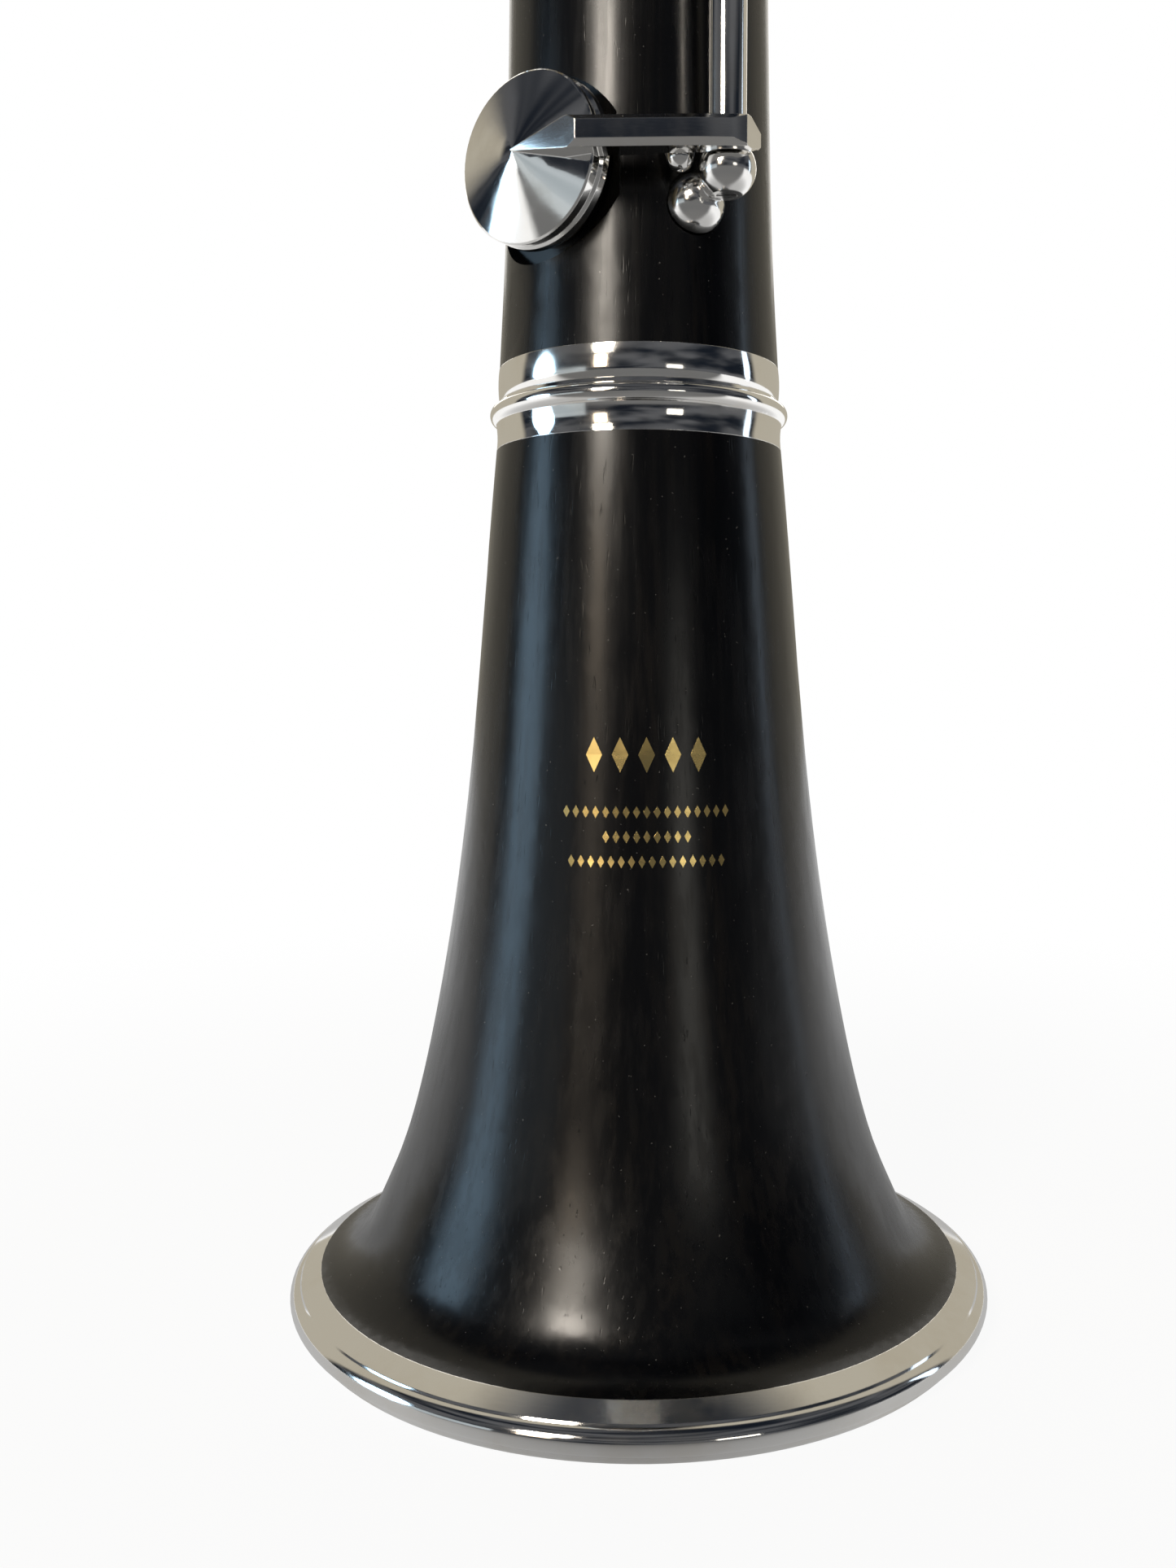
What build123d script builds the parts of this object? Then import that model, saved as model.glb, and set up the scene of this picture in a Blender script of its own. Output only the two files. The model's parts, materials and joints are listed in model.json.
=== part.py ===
from build123d import *

import math
import os

# A wooden soprano clarinet standing on its bell: seventeen-key layout with six finger rings.
# Millimetres. Z runs up the bore, the origin is the middle of the bell's foot, and -Y is the front,
# where the fingers go. Angles round the bore are counted from the front towards +X.

os.makedirs("parts", exist_ok=True)

# Lengths of the five sections, seam to seam.
bell_length = 102.0
lower_length = 221.0
upper_length = 204.0
barrel_length = 65.0
mouthpiece_length = 72.0

seam_bell = bell_length
seam_middle = seam_bell + lower_length
seam_barrel = seam_middle + upper_length
seam_mouthpiece = seam_barrel + barrel_length
tip = seam_mouthpiece + mouthpiece_length

# Radii of the turned wood.
bore_radius = 7.3
bore_foot_radius = 11.5          # where the bore leaves the lower joint
lower_radius = 14.0
upper_radius = 13.8
rim_radius = 40.0
rim_height = 5.1
foot_radius = 38.4
bell_top_radius = 16.0
end_ring_height = 3.5
socket_ring_height = 5.4
middle_ring_height = 6.5
middle_ring_radius = 16.6
ring_wall = 1.25                 # wood left between a socket and the ring over it

# Tenons and sockets.
tenon_length = 15.0
bell_tenon_length = 18.5
tenon_radius = 11.9
bell_tenon_radius = 13.0
mouthpiece_tenon_radius = 11.0
socket_clearance = 0.40
cork_clearance = 0.03
cork_depth = 0.55
cork_margin = 2.6
tenon_gap = 0.3                  # space left beyond the end of a tenon

# Keywork.
tube_radius = 1.6
low_tube_radius = 1.95
rod_radius = 1.05
rod_clearance = 0.05
ball_radius = 2.2
low_ball_radius = 2.95
flat_share = 0.84                # how far out a post's ball is faced off
face_gap = 0.06                  # from a post's face to the end of its tube
neck_radius = 1.15
foot_flange = 2.3
low_foot_flange = 3.1
pivot_depth = 4.5                # of the holes that the pivot screws turn in
pivot_reach = 3.4                # how far a pivot screw stands out of its post
stud_radius = 1.3
stud_length = 2.6
hinge_height = 17.6              # from the bore's axis to a hinge's axis
post_gap = 2.2 * flat_share + face_gap
arm_thickness = 1.6
arm_width = 3.0
cup_side = 2.0
cup_cone = 1.1
pad_proud = 0.55
pad_gap = 0.03
pad_inset = 0.45
pad_ease = 0.02                  # between a pad and the wall of its cup
pad_thickness = 1.9
seat_lip = 0.95
pocket_margin = 0.85
finger_ring_inner = 5.7
finger_ring_outer = 7.5
finger_ring_height = 1.5
chimney_radius = 5.1
chimney_height = 2.0
touch_thickness = 1.5
spring_radius = 0.3
sleeve_radius = 1.7              # of the short tubes that cross the bore
lever_height = 17.2              # from the bore's axis to a hinge that crosses it
small_pad = {"side": 1.8, "cone": 0.8}
small_arm_width = 2.4

BASE = (Align.CENTER, Align.CENTER, Align.MIN)
nodes = {}
joints = {}


# Places and plain solids.

def polar(phi, rho, z=0.0):
    """The point at an angle round the bore, a distance from its axis, and a height."""
    turn = math.radians(phi)
    return Vector(rho * math.sin(turn), -rho * math.cos(turn), z)


def facing(phi, rho, z):
    """A plane whose x runs round to the right, y up the bore and z straight out of it."""
    turn = math.radians(phi)
    across = (math.cos(turn), math.sin(turn), 0)
    outward = (math.sin(turn), -math.cos(turn), 0)
    return Plane(origin=polar(phi, rho, z), x_dir=across, z_dir=outward)


def turned(*curves):
    """A solid of revolution about the bore from curves drawn as (radius, height)."""
    outline = Curve() + list(curves)
    return revolve(make_face(Plane.XZ * outline), Axis.Z)


def upright(phi, rho, low, high, radius):
    """A round bar parallel to the bore."""
    place = polar(phi, rho, low)
    return Pos(place.X, place.Y, place.Z) * Cylinder(radius, high - low, align=BASE)


def outward(phi, z, low, high, radius, across=0.0):
    """A round bar that points straight out of the bore, moved across by a distance."""
    return facing(phi, 0, z) * Pos(across, 0, low) * Cylinder(radius, high - low, align=BASE)


def arc_bar(phi_a, phi_b, rho, z, thickness=arm_thickness, width=arm_width):
    """A flat bar bent round the bore from one angle to another, with rounded ends."""
    low, high = min(phi_a, phi_b), max(phi_a, phi_b)
    reach = 3 * rho
    steps = max(1, math.ceil((high - low) / 60))
    fan = [(0.0, 0.0)]
    for step in range(steps + 1):
        corner = polar(low + (high - low) * step / steps, reach)
        fan.append((corner.X, corner.Y))
    ring = Circle(rho + thickness) - Circle(rho)
    section = ring & make_face(Polyline(*fan, close=True))
    bar = extrude(section, width)
    bar = Pos(0, 0, z - width / 2) * bar
    for phi in (low, high):
        bar += outward(phi, z, rho, rho + thickness, width / 2)
    return bar


def plate(phi, z, rho, length, width, thickness=touch_thickness, corner=0.42):
    """A touch for a finger: a rounded plate facing outwards, with its top edge eased."""
    shape = RectangleRounded(width, length, corner * min(width, length))
    solid = extrude(shape, thickness)
    top = solid.edges().group_by(Axis.Z)[-1]
    solid = fillet(top, thickness * 0.45)
    return facing(phi, rho, z) * solid


def fused(pieces):
    whole = pieces[0]
    for piece in pieces[1:]:
        whole = whole + piece
    return whole


def keep(name, *solids):
    nodes.setdefault(name, []).extend(solids)


# The wood's outline, also used to seat posts and pads.

lower_foot_flare = [
    (15.6, seam_bell + end_ring_height), (15.2, seam_bell + 10.0), (14.83, seam_bell + 18.0),
    (14.42, seam_bell + 33.0), (14.13, seam_bell + 50.0), (lower_radius, seam_bell + 72.0),
]
lower_top_flare = [
    (lower_radius, seam_middle - 50.0), (14.2, seam_middle - 36.0), (14.55, seam_middle - 25.0),
    (15.1, seam_middle - 15.0), (15.9, seam_middle - middle_ring_height),
]
upper_foot_flare = [
    (14.4, seam_middle), (14.05, seam_middle + 12.0), (13.87, seam_middle + 22.0),
    (upper_radius, seam_middle + 34.0),
]
upper_top_flare = [
    (upper_radius, seam_barrel - 34.0), (13.92, seam_barrel - 22.0), (14.3, seam_barrel - 10.0),
    (14.9, seam_barrel),
]


def wood_radius(z):
    """The wood's outer radius at a height, between the points of its outline."""
    if z < seam_middle:
        outline = lower_foot_flare + lower_top_flare
    else:
        outline = upper_foot_flare + upper_top_flare
    for (r0, z0), (r1, z1) in zip(outline, outline[1:]):
        if z0 <= z <= z1:
            return r0 + (r1 - r0) * (z - z0) / (z1 - z0)
    return outline[0][0] if z < outline[0][1] else outline[-1][0]


def flares(foot, top):
    """The wood's outline from a flared foot through a straight middle to a flared top."""
    upwards = (0, 1)
    low = Spline(*foot, tangents=[(foot[1][0] - foot[0][0], foot[1][1] - foot[0][1]), upwards])
    high = Spline(*top, tangents=[upwards, (top[-1][0] - top[-2][0], top[-1][1] - top[-2][1])])
    return low, Line(foot[-1], top[0]), high


def flat_depth(z, reach, sink=0.05):
    """How far out a flat of that reach sits wholly in the wood."""
    lowest = min(wood_radius(z - reach), wood_radius(z), wood_radius(z + reach))
    return math.sqrt(lowest ** 2 - reach ** 2) - sink


# Tone holes and the pads over them.

class ToneHole:
    """A padded hole: its place, its radius, and where its pad's cup comes."""

    def __init__(self, z, phi, radius, cup, side=cup_side, cone=cup_cone):
        self.z, self.phi, self.radius, self.cup = z, phi, radius, cup
        self.side, self.cone = side, cone
        self.lip = radius + seat_lip
        self.seat = flat_depth(z, self.lip)
        self.floor = self.seat - 0.6
        self.top = self.seat + pad_gap + pad_proud + side + cone

    def cut(self):
        """What the hole, its seat and the pocket round the seat take out of the wood."""
        pocket = self.cup + pocket_margin
        hole = outward(self.phi, self.z, bore_radius * 0.5, self.seat + 1, self.radius)
        clear = outward(self.phi, self.z, self.seat, self.seat + 9, pocket)
        moat = outward(self.phi, self.z, self.floor, self.seat, pocket)
        moat -= outward(self.phi, self.z, self.floor, self.seat, self.lip)
        return hole + clear + moat

    def pad(self):
        bottom = self.seat + pad_gap
        return outward(self.phi, self.z, bottom, bottom + pad_thickness, self.cup - pad_inset - pad_ease)

    def cup_solid(self):
        """The metal cup: a pointed lid with a stepped side, hollow for its pad."""
        low = self.seat + pad_gap + pad_proud
        inside = self.seat + pad_gap + pad_thickness
        edge = low + self.side
        r = self.cup
        half = Polyline(
            (0, inside), (r - pad_inset, inside), (r - pad_inset, low), (r, low),
            (r, low + self.side * 0.34), (r - 0.28, low + self.side * 0.46),
            (r - 0.28, edge - 0.35), (r - 0.05, edge - 0.2), (r - 0.25, edge),
            (0, edge + self.cone), close=True,
        )
        lid = revolve(make_face(Plane.XZ * half), Axis.Z)
        return facing(self.phi, 0, self.z) * lid


# Posts and hinges.

def post(phi, z, height, ball=ball_radius, flange=foot_flange, across=0.0, crosswise=False):
    """A turned post with a ball head, drilled and faced for a rod along or across the bore."""
    reach = abs(across) + flange
    seat = flat_depth(z, reach)
    waist = seat + 0.45 * flange
    half = Polyline((0, height), (0, seat - stud_length), (stud_radius, seat - stud_length),
                    (stud_radius, seat), (flange, seat), (flange, seat + 0.25))
    skirt = ThreePointArc((flange, seat + 0.25), (flange * 0.8, waist + 0.1), (neck_radius, waist + 0.75))
    neck = Polyline((neck_radius, waist + 0.75), (neck_radius, height), (0, height))
    solid = revolve(make_face(Plane.XZ * (Curve() + [half, skirt, neck])), Axis.Z)
    solid += Pos(0, 0, height) * Sphere(ball)
    turn = Rot(0, 90, 0) if crosswise else Rot(90, 0, 0)
    face = ball * flat_share
    here = Pos(0, 0, height) * turn
    solid -= here * Cylinder(rod_radius, 4 * ball)
    for side in (-1, 1):
        solid -= here * Pos(0, 0, side * (face + ball)) * Cylinder(2 * ball, 2 * ball)
    return facing(phi, 0, z) * Pos(across, 0, 0) * solid


def post_cut(phi, z, flange=foot_flange, across=0.0):
    """The spot face and stud hole that a post's foot needs in the wood."""
    seat = flat_depth(z, abs(across) + flange)
    spot = outward(phi, z, seat, seat + 4, flange + 0.12, across)
    return spot + outward(phi, z, seat - stud_length, seat, stud_radius, across)


def slotted_rod(radius, length):
    """A steel hinge rod with a driver slot in its upper end, standing on the origin."""
    rod = Cylinder(radius, length, align=BASE)
    return rod - Pos(0, 0, length) * Box(3 * radius, 0.35, 0.9)


upper_cuts, lower_cuts = [], []


def joint_of(z):
    return "lower" if z < seam_middle else "upper"


def set_post(phi, z, height=hinge_height, **shape):
    """Adds a post to the joint that it stands on, and its cuts to that joint's wood."""
    where = joint_of(z)
    keep(where + "_joint_posts", post(phi, z, height, **shape))
    cuts = lower_cuts if where == "lower" else upper_cuts
    foot = {name: shape[name] for name in ("flange", "across") if name in shape}
    cuts.append(post_cut(phi, z, **foot))


def leaning_post(foot_phi, foot_z, head, ball, flange):
    """A post with a domed foot, whose neck leans from the foot to a ball drilled along the bore."""
    seat = flat_depth(foot_z, flange)
    middle = polar(foot_phi, seat + 0.15, foot_z)
    dome = Pos(*middle) * Sphere(flange)
    dome &= outward(foot_phi, foot_z, seat, seat + flange, flange)
    dome += outward(foot_phi, foot_z, seat - stud_length, seat + 0.5, stud_radius)
    lean = Plane(origin=middle, z_dir=head - middle)
    reach = (head - middle).length
    neck = lean * Pos(0, 0, 1.0) * Cone(neck_radius * 1.35, neck_radius * 1.65, reach - 1.0, align=BASE)
    face = ball * flat_share
    knob = Sphere(ball) & Cylinder(ball, 2 * face)
    solid = dome + neck + Pos(*head) * knob - Pos(*head) * Cylinder(rod_radius, 2 * ball)
    keep(joint_of(foot_z) + "_joint_posts", solid)
    lower_cuts.append(post_cut(foot_phi, foot_z, flange=flange))


def needle_spring(phi, z, direction, height, length=14.0):
    """A blued needle spring that runs from a post's neck under the key's tube."""
    rho = (wood_radius(z) + height - tube_radius) / 2 + 0.15
    start = z - direction * neck_radius * 0.6
    low, high = sorted((start, start + direction * length))
    keep("needle_springs", upright(phi, rho, low, high, spring_radius))


def long_hinge(phi, posts, height=hinge_height):
    """Posts at some heights, and the one rod through them, for a hinge parallel to the bore."""
    for z in posts:
        set_post(phi, z, height)
    face = ball_radius * flat_share
    low, high = posts[0], posts[-1]
    place = polar(phi, height, low - face)
    keep("hinge_rods", Pos(place.X, place.Y, place.Z) * slotted_rod(rod_radius, high - low + 2 * face))


def cross_hinge(phi, z, height, half):
    """Posts and a rod for a hinge that crosses the bore, half apart either side of the lever."""
    for side in (-1, 1):
        set_post(phi, z, height, across=side * half, crosswise=True)
    face = ball_radius * flat_share
    length = 2 * (half + face)
    rod = Rot(0, 90, 0) * Pos(0, 0, -length / 2) * slotted_rod(rod_radius, length)
    keep("hinge_rods", facing(phi, height, z) * rod)


def cross_sleeve(key, phi, height, z, half):
    """Adds the short tube that a lever turns on, and drills it for its rod."""
    place = facing(phi, height, z) * Rot(0, 90, 0)
    key += place * Cylinder(sleeve_radius, 2 * (half - post_gap))
    return key - place * Cylinder(rod_radius + rod_clearance, 4 * half)


def tube(phi, low, high, height=hinge_height, radius=tube_radius):
    return upright(phi, height, low, high, radius)


def drill(key, phi, low, high, height=hinge_height):
    return key - upright(phi, height, low - 5, high + 5, rod_radius + rod_clearance)


def store_key(name, pieces, pad, hinge, rest=0.0, limits=(0.0, 0.0)):
    """Turns a key from its closed place to where it rests, and notes its hinge and travel."""
    axis = Axis(hinge[0], hinge[1])
    solid = pieces.rotate(axis, rest) if rest else pieces
    keep(name, solid)
    if pad is not None:
        keep(name + "_pad", pad.rotate(axis, rest) if rest else pad)
    joints[name] = {"at": hinge[0], "along": hinge[1], "range": limits}


def upright_axis(phi, height=hinge_height):
    place = polar(phi, height)
    return (place.X, place.Y, place.Z), (0, 0, 1)


def cross_axis(phi, height, z):
    place = polar(phi, height, z)
    turn = math.radians(phi)
    return (place.X, place.Y, place.Z), (math.cos(turn), math.sin(turn), 0)


# The finger holes.

right_third = seam_middle - 78.0
right_second = seam_middle - 54.0
right_first = seam_middle - 31.0
left_third = seam_middle + 37.0
left_second = seam_middle + 61.0
left_first = seam_middle + 87.0
thumb = seam_middle + 97.0
finger_holes = [
    (right_third, 0, 4.0), (right_second, 0, 4.0), (right_first, 0, 3.8),
    (left_third, 0, 3.6), (left_second, 0, 3.6), (left_first, 0, 3.4), (thumb, 180, 3.4),
]


def finger_ring(z, phi):
    """The ring a finger presses: it lies flush with the chimney when its pad is shut."""
    low = wood_radius(z) + chimney_height - 1.0
    section = Circle(finger_ring_outer) - Circle(finger_ring_inner)
    ring = extrude(section, finger_ring_height)
    ring = fillet(ring.edges().group_by(Axis.Z)[-1], finger_ring_height / 3)
    return facing(phi, low, z) * ring


def ring_arm(z, phi, hinge_phi, height=hinge_height):
    """The bar from a hinge tube up to a finger ring."""
    low = wood_radius(z) + chimney_height - 1.0
    turn = math.radians(hinge_phi - phi)
    across, up = height * math.sin(turn), height * math.cos(turn)
    side = math.copysign(1, across)
    inner = side * (finger_ring_inner + 0.5)
    bar = Polyline(
        (across, up + 0.4), (inner, low + finger_ring_height - 0.1), (inner, low + 0.1), (across, up - 0.9),
        close=True,
    )
    solid = extrude(make_face(Plane.XZ * bar), arm_width / 2, both=True)
    return facing(phi, 0, z) * solid


# The low E key, with its pivot screws.

low_cluster = seam_middle - 121.0        # height of the lower pair of little-finger touches
high_cluster = seam_middle - 107.0       # height of the upper pair
low_e_tail_rho = 17.2                    # inner faces of the two tails that the levers lift,
low_f_sharp_tail_rho = 19.1              # the first at rest and the second with its pad shut
low_e_open = 8.5
low_f_sharp_open = 9.0

low_e_hinge = (27.9, 18.8)       # its angle and its distance from the bore's axis
low_e_ball_z = seam_bell + 20.0
low_e_arm_half = 1.5             # half the height of its arm
low_e_arm_bevel = 0.6
low_e_tube_low = low_e_ball_z + low_ball_radius * flat_share + face_gap


def low_e_arm(hole, hub, apex, out):
    """The bevelled arm, from an arrow point on the cup to a pointed tail beyond the hinge."""
    right = Vector(-out.Y, out.X)
    elbow = apex + right * (hole.cup - 0.2) + out * 0.6
    under = elbow - out * 3.4 - right
    plan = Polyline(
        (apex + out * 0.25).to_tuple()[:2], (apex - out * 0.9).to_tuple()[:2], under.to_tuple()[:2],
        (hub.X - 5.2, hub.Y - 2.2), (hub.X + 1.0, hub.Y - 2.2), (hub.X + 2.4, hub.Y - 0.4),
        (hub.X + 3.3, hub.Y - 1.1), (hub.X + 1.7, hub.Y - 4.1), (hub.X + 0.2, hub.Y - 4.6),
        elbow.to_tuple()[:2], close=True,
    )
    knee_z, hub_z = hole.z + 0.15, hole.z + 0.4
    knee_top, knee_low = knee_z + low_e_arm_half, knee_z - low_e_arm_half
    top, low = hub_z + low_e_arm_half, hub_z - low_e_arm_half
    arrow_end, tail_start, tail_end = apex.X + 5.4, hub.X + 2.2, hub.X + 4.0
    front_view = Polyline(
        (apex.X - 0.4, hole.z), (arrow_end, knee_top), (elbow.X, knee_top), (hub.X - 3.2, top),
        (tail_start, top), (tail_end, hub_z + 0.1), (tail_end, hub_z - 0.1), (tail_start, low),
        (hub.X - 3.2, low), (elbow.X, knee_low), (arrow_end, knee_low), close=True,
    )
    arm = Pos(0, 0, hole.z - 10) * extrude(make_face(plan), 20)
    arm &= extrude(make_face(Plane.XZ * front_view), 60, both=True)
    front = arm.edges().filter_by(lambda edge: edge.length > 9 and edge.center().Y < hub.Y - 3)
    arm = chamfer(front, low_e_arm_bevel)
    return arm - upright(*low_e_hinge, hole.z - 10, low_e_tube_low, low_ball_radius + 0.2)


def low_e_lug(hub):
    """The rounded lug that hangs from the arm beside the post's ball."""
    radius = 1.4
    place = Pos(hub.X - low_ball_radius - radius - 0.35, hub.Y - 0.6, low_e_ball_z + 1.0)
    lug = place * Cone(radius, radius * 1.4, 2.2, align=BASE) + place * Sphere(radius)
    return lug + Pos(hub.X - 2.8, hub.Y - 0.4, low_e_tube_low) * Box(5.0, 2.4, low_e_arm_half, align=BASE)


def low_e_key():
    hole = ToneHole(seam_bell + 22.0, -43.5, 6.2, 8.6, side=2.6, cone=2.3)
    phi, height = low_e_hinge
    hub = polar(phi, height)
    axis = Axis((hub.X, hub.Y, 0), (0, 0, 1))
    lower_cuts.append(hole.cut())

    apex = Vertex(polar(hole.phi, hole.top, hole.z)).rotate(axis, low_e_open).center()
    beyond = Vertex(polar(hole.phi, hole.top + 1, hole.z)).rotate(axis, low_e_open).center()
    top_z = low_cluster + 8.0
    bridge_z = low_cluster + 3.5
    touch_rho = hinge_height + tube_radius + 1.6
    key = fused([
        tube(phi, low_e_tube_low, top_z, height, low_tube_radius),
        upright(phi, height, low_e_tube_low, hole.z + low_e_arm_half + 0.35, 2.75),
        low_e_arm(hole, hub, apex, beyond - apex),
        low_e_lug(hub),
        hole.cup_solid().rotate(axis, low_e_open),
        outward(phi, bridge_z, height, touch_rho + 0.8, arm_width / 2),
        arc_bar(phi, -40, touch_rho, bridge_z),
        plate(-46, low_cluster, touch_rho, 12.0, 10.5),
        arc_bar(phi, 126, low_e_tail_rho, bridge_z, thickness=1.7),
    ])
    for low, high in ((low_e_tube_low, low_e_tube_low + pivot_depth), (top_z - pivot_depth, top_z)):
        key -= upright(phi, height, low, high, rod_radius + rod_clearance)
    keep("low_e_key", key)
    keep("low_e_key_pad", hole.pad().rotate(axis, low_e_open))
    joints["low_e_key"] = {"at": (hub.X, hub.Y, 0), "along": (0, 0, 1), "range": (-low_e_open, 0.0)}

    top_ball = top_z + post_gap
    leaning_post(23.2, seam_bell + 17.7, hub + Vector(0, 0, low_e_ball_z), low_ball_radius, low_foot_flange)
    set_post(phi, top_ball, height)
    for z, ball, turn in ((low_e_ball_z, low_ball_radius, 180), (top_ball, ball_radius, 0)):
        face = ball * flat_share
        reach = face + pivot_reach
        screw = Rot(turn, 0, 0) * Pos(0, 0, -reach) * slotted_rod(rod_radius, reach + face)
        keep("pivot_screws", Pos(hub.X, hub.Y, z) * screw)
    needle_spring(phi, top_ball, -1, height)


# The little fingers' keys.

low_side_hinge = -105
low_side_post = seam_middle - 113.0
low_side_top = seam_middle - 88.0
low_side_touch_rho = 20.2


def low_side_block(phi, z):
    """The thick bar that carries a little-finger touch over a side hinge."""
    return arc_bar(phi, -84, hinge_height + 0.6, z, thickness=low_side_touch_rho - hinge_height)


def low_f_key():
    hole = ToneHole(seam_bell + 55.0, -62, 6.0, 8.3, side=2.4, cone=1.6)
    phi, open_angle = low_side_hinge, 11.0
    low, high = hole.z - 4.0, low_side_post
    lower_cuts.append(hole.cut())
    pieces = [
        tube(phi, low + post_gap, high - post_gap), hole.cup_solid(),
        arc_bar(phi, hole.phi, hole.top - 0.5, hole.z),
        low_side_block(phi, low_cluster + 1.0),
        plate(-80, low_cluster, low_side_touch_rho, 11.5, 8.6),
    ]
    key = drill(fused(pieces), phi, low, high)
    long_hinge(phi, (low, high, low_side_top))
    needle_spring(phi, low, 1, hinge_height)
    store_key("low_f_key", key, hole.pad(), upright_axis(phi), -open_angle, (0.0, open_angle))


def low_f_sharp_key():
    hole = ToneHole(seam_bell + 84.0, -38, 5.6, 8.0, side=2.4, cone=1.6)
    phi, open_angle = 8.5, low_f_sharp_open
    low, high = hole.z - 4.0, high_cluster + 6.5
    lower_cuts.append(hole.cut())
    touch_rho = 19.6
    arm_z = high_cluster + 1.0
    pieces = [
        tube(phi, low + post_gap, high - post_gap), hole.cup_solid(),
        arc_bar(phi, hole.phi, hole.top - 0.5, hole.z),
        arc_bar(phi, -40, touch_rho - 0.8, arm_z),
        plate(-46, high_cluster, touch_rho, 11.5, 10.5),
        outward(phi, arm_z, hinge_height, touch_rho, 1.5),
        arc_bar(phi, 90, low_f_sharp_tail_rho, arm_z),
    ]
    key = drill(fused(pieces), phi, low, high)
    long_hinge(phi, (low, high))
    needle_spring(phi, low, 1, hinge_height)
    store_key("low_f_sharp_key", key, hole.pad(), upright_axis(phi), open_angle, (-open_angle, 0.0))


def low_a_flat_key():
    hole = ToneHole(seam_middle - 101.0, -136, 4.6, 6.4)
    phi, open_angle = low_side_hinge, 11.0
    low, high = low_side_post, low_side_top
    lower_cuts.append(hole.cut())
    pieces = [
        tube(phi, low + post_gap, high - post_gap), hole.cup_solid(),
        arc_bar(phi, hole.phi, hole.top - 0.4, hole.z),
        low_side_block(phi, high_cluster),
        plate(-80, high_cluster, low_side_touch_rho, 11.0, 8.6),
    ]
    key = drill(fused(pieces), phi, low, high)
    needle_spring(phi, high, -1, hinge_height)
    store_key("low_a_flat_key", key, hole.pad(), upright_axis(phi), 0.0, (0.0, open_angle))


# The left little finger's levers, which lift the tails of two low keys.

def little_finger_lever(name, phi, hinge_z, low_z, tail_rho, touch_z, travel):
    """A see-saw whose lower end lies under a key's tail, the tail's inner face at tail_rho."""
    height, half = lever_height, 4.6
    touch_rho = 18.6
    top = tail_rho - 0.4
    lever = Polyline(
        (touch_z - 2, touch_rho + 0.6), (hinge_z + 6, height + 1.0), (hinge_z, height + sleeve_radius),
        (hinge_z - 6, height + 0.9), (low_z + 7, top + 0.2), (low_z + 4.5, top), (low_z - 1.5, top),
        (low_z - 1.5, top - 1.2), (low_z + 8, top - 1.3), (hinge_z - 6, height - 0.9),
        (hinge_z, height - sleeve_radius), (hinge_z + 6, height - 0.8), (touch_z - 2, touch_rho - 1.0),
        close=True,
    )
    bar = facing(phi, 0, 0) * extrude(make_face(Plane.YZ * lever), 1.3, both=True)
    touch = plate(phi, touch_z, touch_rho, 13.0, 8.4)
    key = cross_sleeve(fused([bar, touch]), phi, height, hinge_z, half)
    cross_hinge(phi, hinge_z, height, half)
    store_key(name, key, None, cross_axis(phi, height, hinge_z), 0.0, (-travel, 0.0))


# The ring keys and the bridge between the joints.

ring_hinge = -40
ring_post = seam_middle + 77.6
ring_top = left_first + 15.5
ring_open = 4.0
bridge_phi = -19
bridge_width = 4.6


def store_ring_key(name, key, hole):
    store_key(name, key, hole.pad(), upright_axis(ring_hinge), -ring_open, (0.0, ring_open))


def right_hand_rings():
    hole = ToneHole(seam_middle - 19.5, 30, 2.4, 4.4, **small_pad)
    low, high = seam_middle - 84.5, seam_middle - 11.6
    lower_cuts.append(hole.cut())
    pieces = [tube(ring_hinge, low + post_gap, high - post_gap), hole.cup_solid(),
              arc_bar(ring_hinge, hole.phi, hole.top - 0.4, hole.z, width=small_arm_width)]
    for z in (right_third, right_second, right_first):
        pieces += [finger_ring(z, 0), ring_arm(z, 0, ring_hinge)]
    root = seam_middle - 17.0
    pieces.append(arc_bar(ring_hinge, bridge_phi, 18.4, root, thickness=2.0))
    end = seam_middle + 8.0
    tongue = Box(bridge_width, end - root, 1.4, align=(Align.CENTER, Align.MIN, Align.MIN))
    pieces.append(facing(bridge_phi, 19.0, root) * tongue)
    key = drill(fused(pieces), ring_hinge, low, high)
    long_hinge(ring_hinge, (low, high))
    needle_spring(ring_hinge, low, 1, hinge_height)
    store_ring_key("right_hand_ring_key", key, hole)


def second_finger_ring():
    hole = ToneHole(seam_middle + 71.5, 46, 2.2, 4.3, **small_pad)
    low, high = seam_middle + 7.0, ring_post
    upper_cuts.append(hole.cut())
    root = seam_middle + 11.5
    tongue = Box(bridge_width, 9.5, 1.4, align=(Align.CENTER, Align.MAX, Align.MIN))
    pieces = [
        tube(ring_hinge, low + post_gap, high - post_gap), hole.cup_solid(),
        arc_bar(ring_hinge, hole.phi, hole.top - 0.4, hole.z, width=small_arm_width),
        finger_ring(left_second, 0), ring_arm(left_second, 0, ring_hinge),
        arc_bar(ring_hinge, bridge_phi, 17.1, root, thickness=1.4),
        facing(bridge_phi, 17.2, root + 1.0) * tongue,
    ]
    key = drill(fused(pieces), ring_hinge, low, high)
    long_hinge(ring_hinge, (low, high, ring_top))
    needle_spring(ring_hinge, low, 1, hinge_height)
    store_ring_key("second_finger_ring_key", key, hole)


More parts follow.
